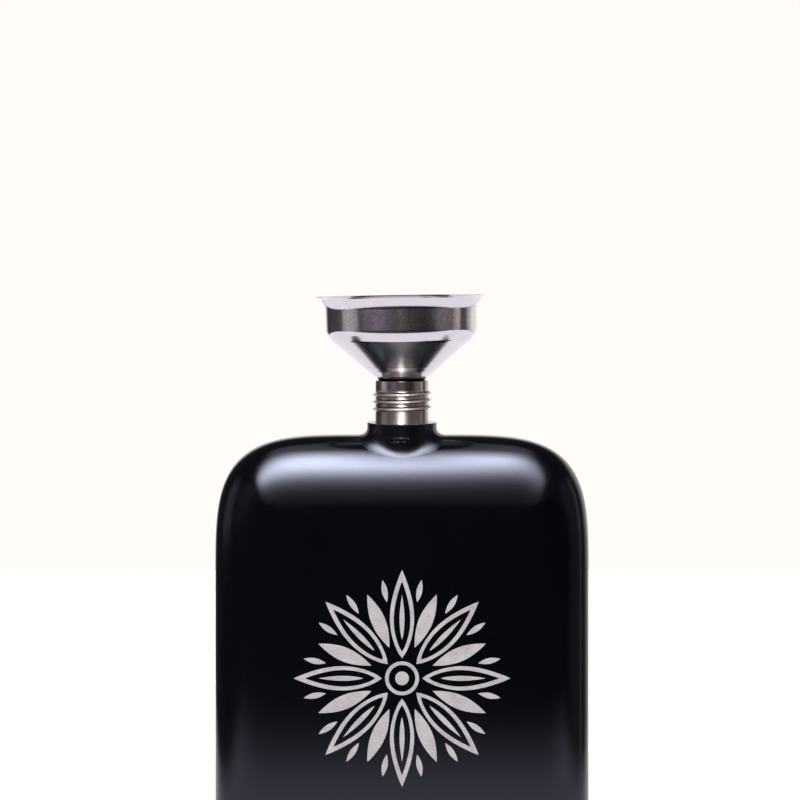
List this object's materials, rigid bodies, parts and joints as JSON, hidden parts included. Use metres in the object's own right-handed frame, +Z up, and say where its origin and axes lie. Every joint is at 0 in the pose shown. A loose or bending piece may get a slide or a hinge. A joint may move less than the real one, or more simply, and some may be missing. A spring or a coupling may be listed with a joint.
{
  "type": "hip flask",
  "caption": "Flat rounded-rectangle pocket flask, satin black, with a bare threaded steel neck, a filling funnel standing in it and a lined screw cap set down beside it.",
  "frame": {"origin": "middle of the flat foot, on the resting plane", "axes": "+Z up along the neck, +X along the flask's width, the front face looks along -Y"},
  "size_m": [0.1186, 0.0591, 0.1546],
  "materials": {
    "body_coat": "satin black powder coat with a fine texture",
    "neck_steel": "bare stainless, turned, with fine circumferential tool marks",
    "funnel_steel": "polished spun stainless with faint spinning lines",
    "cap_coat": "satin black powder coat, as the body",
    "liner_plastic": "black moulded polypropylene",
    "gasket_silicone": "translucent white silicone"
  },
  "bodies": {
    "flask": {"body_sleeve": "body_coat", "shoulder_dome": "body_coat", "base_pan": "body_coat", "neck_collar": "body_coat", "threaded_neck": "neck_steel"},
    "funnel": {"funnel_bowl": "funnel_steel", "funnel_spout": "funnel_steel"},
    "cap_seal": {"cap_gasket": "gasket_silicone"},
    "cap": {"cap_shell": "cap_coat", "cap_liner": "liner_plastic"}
  },
  "joints": [
    {"name": "funnel_lift", "type": "slide", "parent": "flask", "child": "funnel", "axis": [0, 0, 1], "range_m": [0, 0.05]},
    {"name": "cap_lift", "type": "slide", "parent": "flask", "child": "cap_seal", "axis": [0, 0, 1], "range_m": [0, 0.14]},
    {"name": "cap_turn", "type": "hinge", "parent": "cap_seal", "child": "cap", "pos_m": [0.062, -0.028, 0], "axis": [0, 0, 1], "continuous": true}
  ]
}
